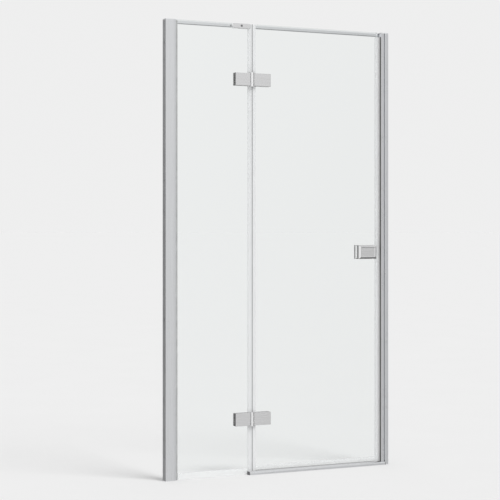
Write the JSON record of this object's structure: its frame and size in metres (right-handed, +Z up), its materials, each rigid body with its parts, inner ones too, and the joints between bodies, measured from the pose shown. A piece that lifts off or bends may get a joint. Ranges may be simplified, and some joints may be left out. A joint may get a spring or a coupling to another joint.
{
  "type": "shower door",
  "caption": "Recess shower door: fixed glass panel, hinged clear glass door, satin wall profiles, stabiliser bar, block handle, clear seals and a low threshold.",
  "frame": {"origin": "middle of the opening between the two walls, on the tray, in the middle plane of the glass", "axes": "+X to the right as seen from the room, +Y into the shower, +Z up"},
  "size_m": [1.083, 0.06, 1.95],
  "materials": {
    "satin_aluminium": "bright satin anodised",
    "chrome": "satin chrome plate",
    "clear_glass": "clear toughened safety glass",
    "clear_seal": "clear flexible plastic",
    "grey_gasket": "soft grey",
    "black_rubber": "matte",
    "magnet_rubber": "matte flexible magnet",
    "clear_gasket": "soft clear sheet",
    "dark_gasket": "soft dark sheet",
    "silver_plastic": "silver-grey moulded",
    "dark_plastic": "dark grey moulded",
    "white_plastic": "natural acetal",
    "stainless_steel": "turned stainless"
  },
  "bodies": {
    "frame": {"left_wall_profile": "satin_aluminium", "left_glazing_profile": "satin_aluminium", "left_gasket_front": "grey_gasket", "left_gasket_rear": "grey_gasket", "left_profile_cap": "silver_plastic", "left_profile_screws": "stainless_steel", "glass_setting_block": "white_plastic", "fixed_glass": "clear_glass", "fixed_bottom_seal": "clear_seal", "right_wall_profile": "satin_aluminium", "strike_profile": "satin_aluminium", "strike_magnet_seal": "black_rubber", "strike_magnet": "magnet_rubber", "right_profile_cap": "silver_plastic", "right_profile_screws": "stainless_steel", "stabiliser_bar": "satin_aluminium", "bar_socket_left": "satin_aluminium", "bar_socket_right": "satin_aluminium", "bar_socket_screws": "stainless_steel", "bar_clamp_plate": "chrome", "bar_clamp_gasket": "clear_gasket", "bar_clamp_spacer": "clear_gasket", "bar_clamp_screw": "stainless_steel", "threshold_strip": "satin_aluminium", "threshold_cap_left": "dark_plastic", "threshold_cap_right": "dark_plastic", "hinge_fixed_screws": "stainless_steel", "lower_hinge_fixed_front": "chrome", "lower_hinge_fixed_rear": "chrome", "lower_hinge_fixed_gaskets": "dark_gasket", "lower_hinge_pin": "stainless_steel", "upper_hinge_fixed_front": "chrome", "upper_hinge_fixed_rear": "chrome", "upper_hinge_fixed_gaskets": "dark_gasket", "upper_hinge_pin": "stainless_steel", "fixed_edge_seal_lower": "clear_seal", "fixed_edge_seal_middle": "clear_seal", "fixed_edge_seal_upper": "clear_seal"},
    "door": {"hinge_door_screws": "stainless_steel", "door_glass": "clear_glass", "door_bottom_seal": "clear_seal", "door_magnet_seal": "clear_seal", "door_magnet": "magnet_rubber", "handle_front": "chrome", "handle_rear": "chrome", "handle_gaskets": "dark_gasket", "handle_studs": "stainless_steel", "handle_set_screws": "stainless_steel", "lower_hinge_door_front": "chrome", "lower_hinge_door_rear": "chrome", "lower_hinge_door_gaskets": "dark_gasket", "lower_hinge_bushes": "white_plastic", "upper_hinge_door_front": "chrome", "upper_hinge_door_rear": "chrome", "upper_hinge_door_gaskets": "dark_gasket", "upper_hinge_bushes": "white_plastic", "door_edge_seal_lower": "clear_seal", "door_edge_seal_middle": "clear_seal", "door_edge_seal_upper": "clear_seal"}
  },
  "joints": [
    {"name": "door_swing", "type": "hinge", "parent": "frame", "child": "door", "pos_m": [-0.1375, -0.014, 0.975], "axis": [0, 0, -1], "range_deg": [0, 110]}
  ]
}
